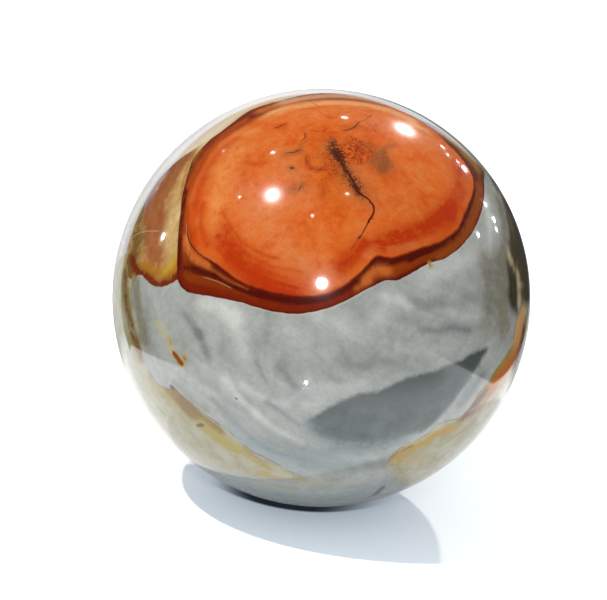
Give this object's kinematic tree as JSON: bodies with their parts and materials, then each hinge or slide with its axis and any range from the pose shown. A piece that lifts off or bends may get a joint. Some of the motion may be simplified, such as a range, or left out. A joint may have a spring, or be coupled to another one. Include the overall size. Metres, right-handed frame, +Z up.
{
  "type": "polychrome jasper sphere",
  "caption": "Polished ball of banded jasper with a red-orange eye in grey stone, standing on a small flat ground into its foot.",
  "frame": {"origin": "middle of the small flat at the foot, on the surface that the ball stands on", "axes": "+Z up through the centre of the ball; -Y towards the side with the red-orange eye; +X to the right of it"},
  "size_m": [0.1, 0.1, 0.0997],
  "materials": {
    "jasper": "high polish; red-orange eye with dark brown and ochre bands, in warm to teal grey, with cream and yellow-ochre fields"
  },
  "bodies": {
    "root": {"jasper_sphere": "jasper"}
  },
  "joints": []
}
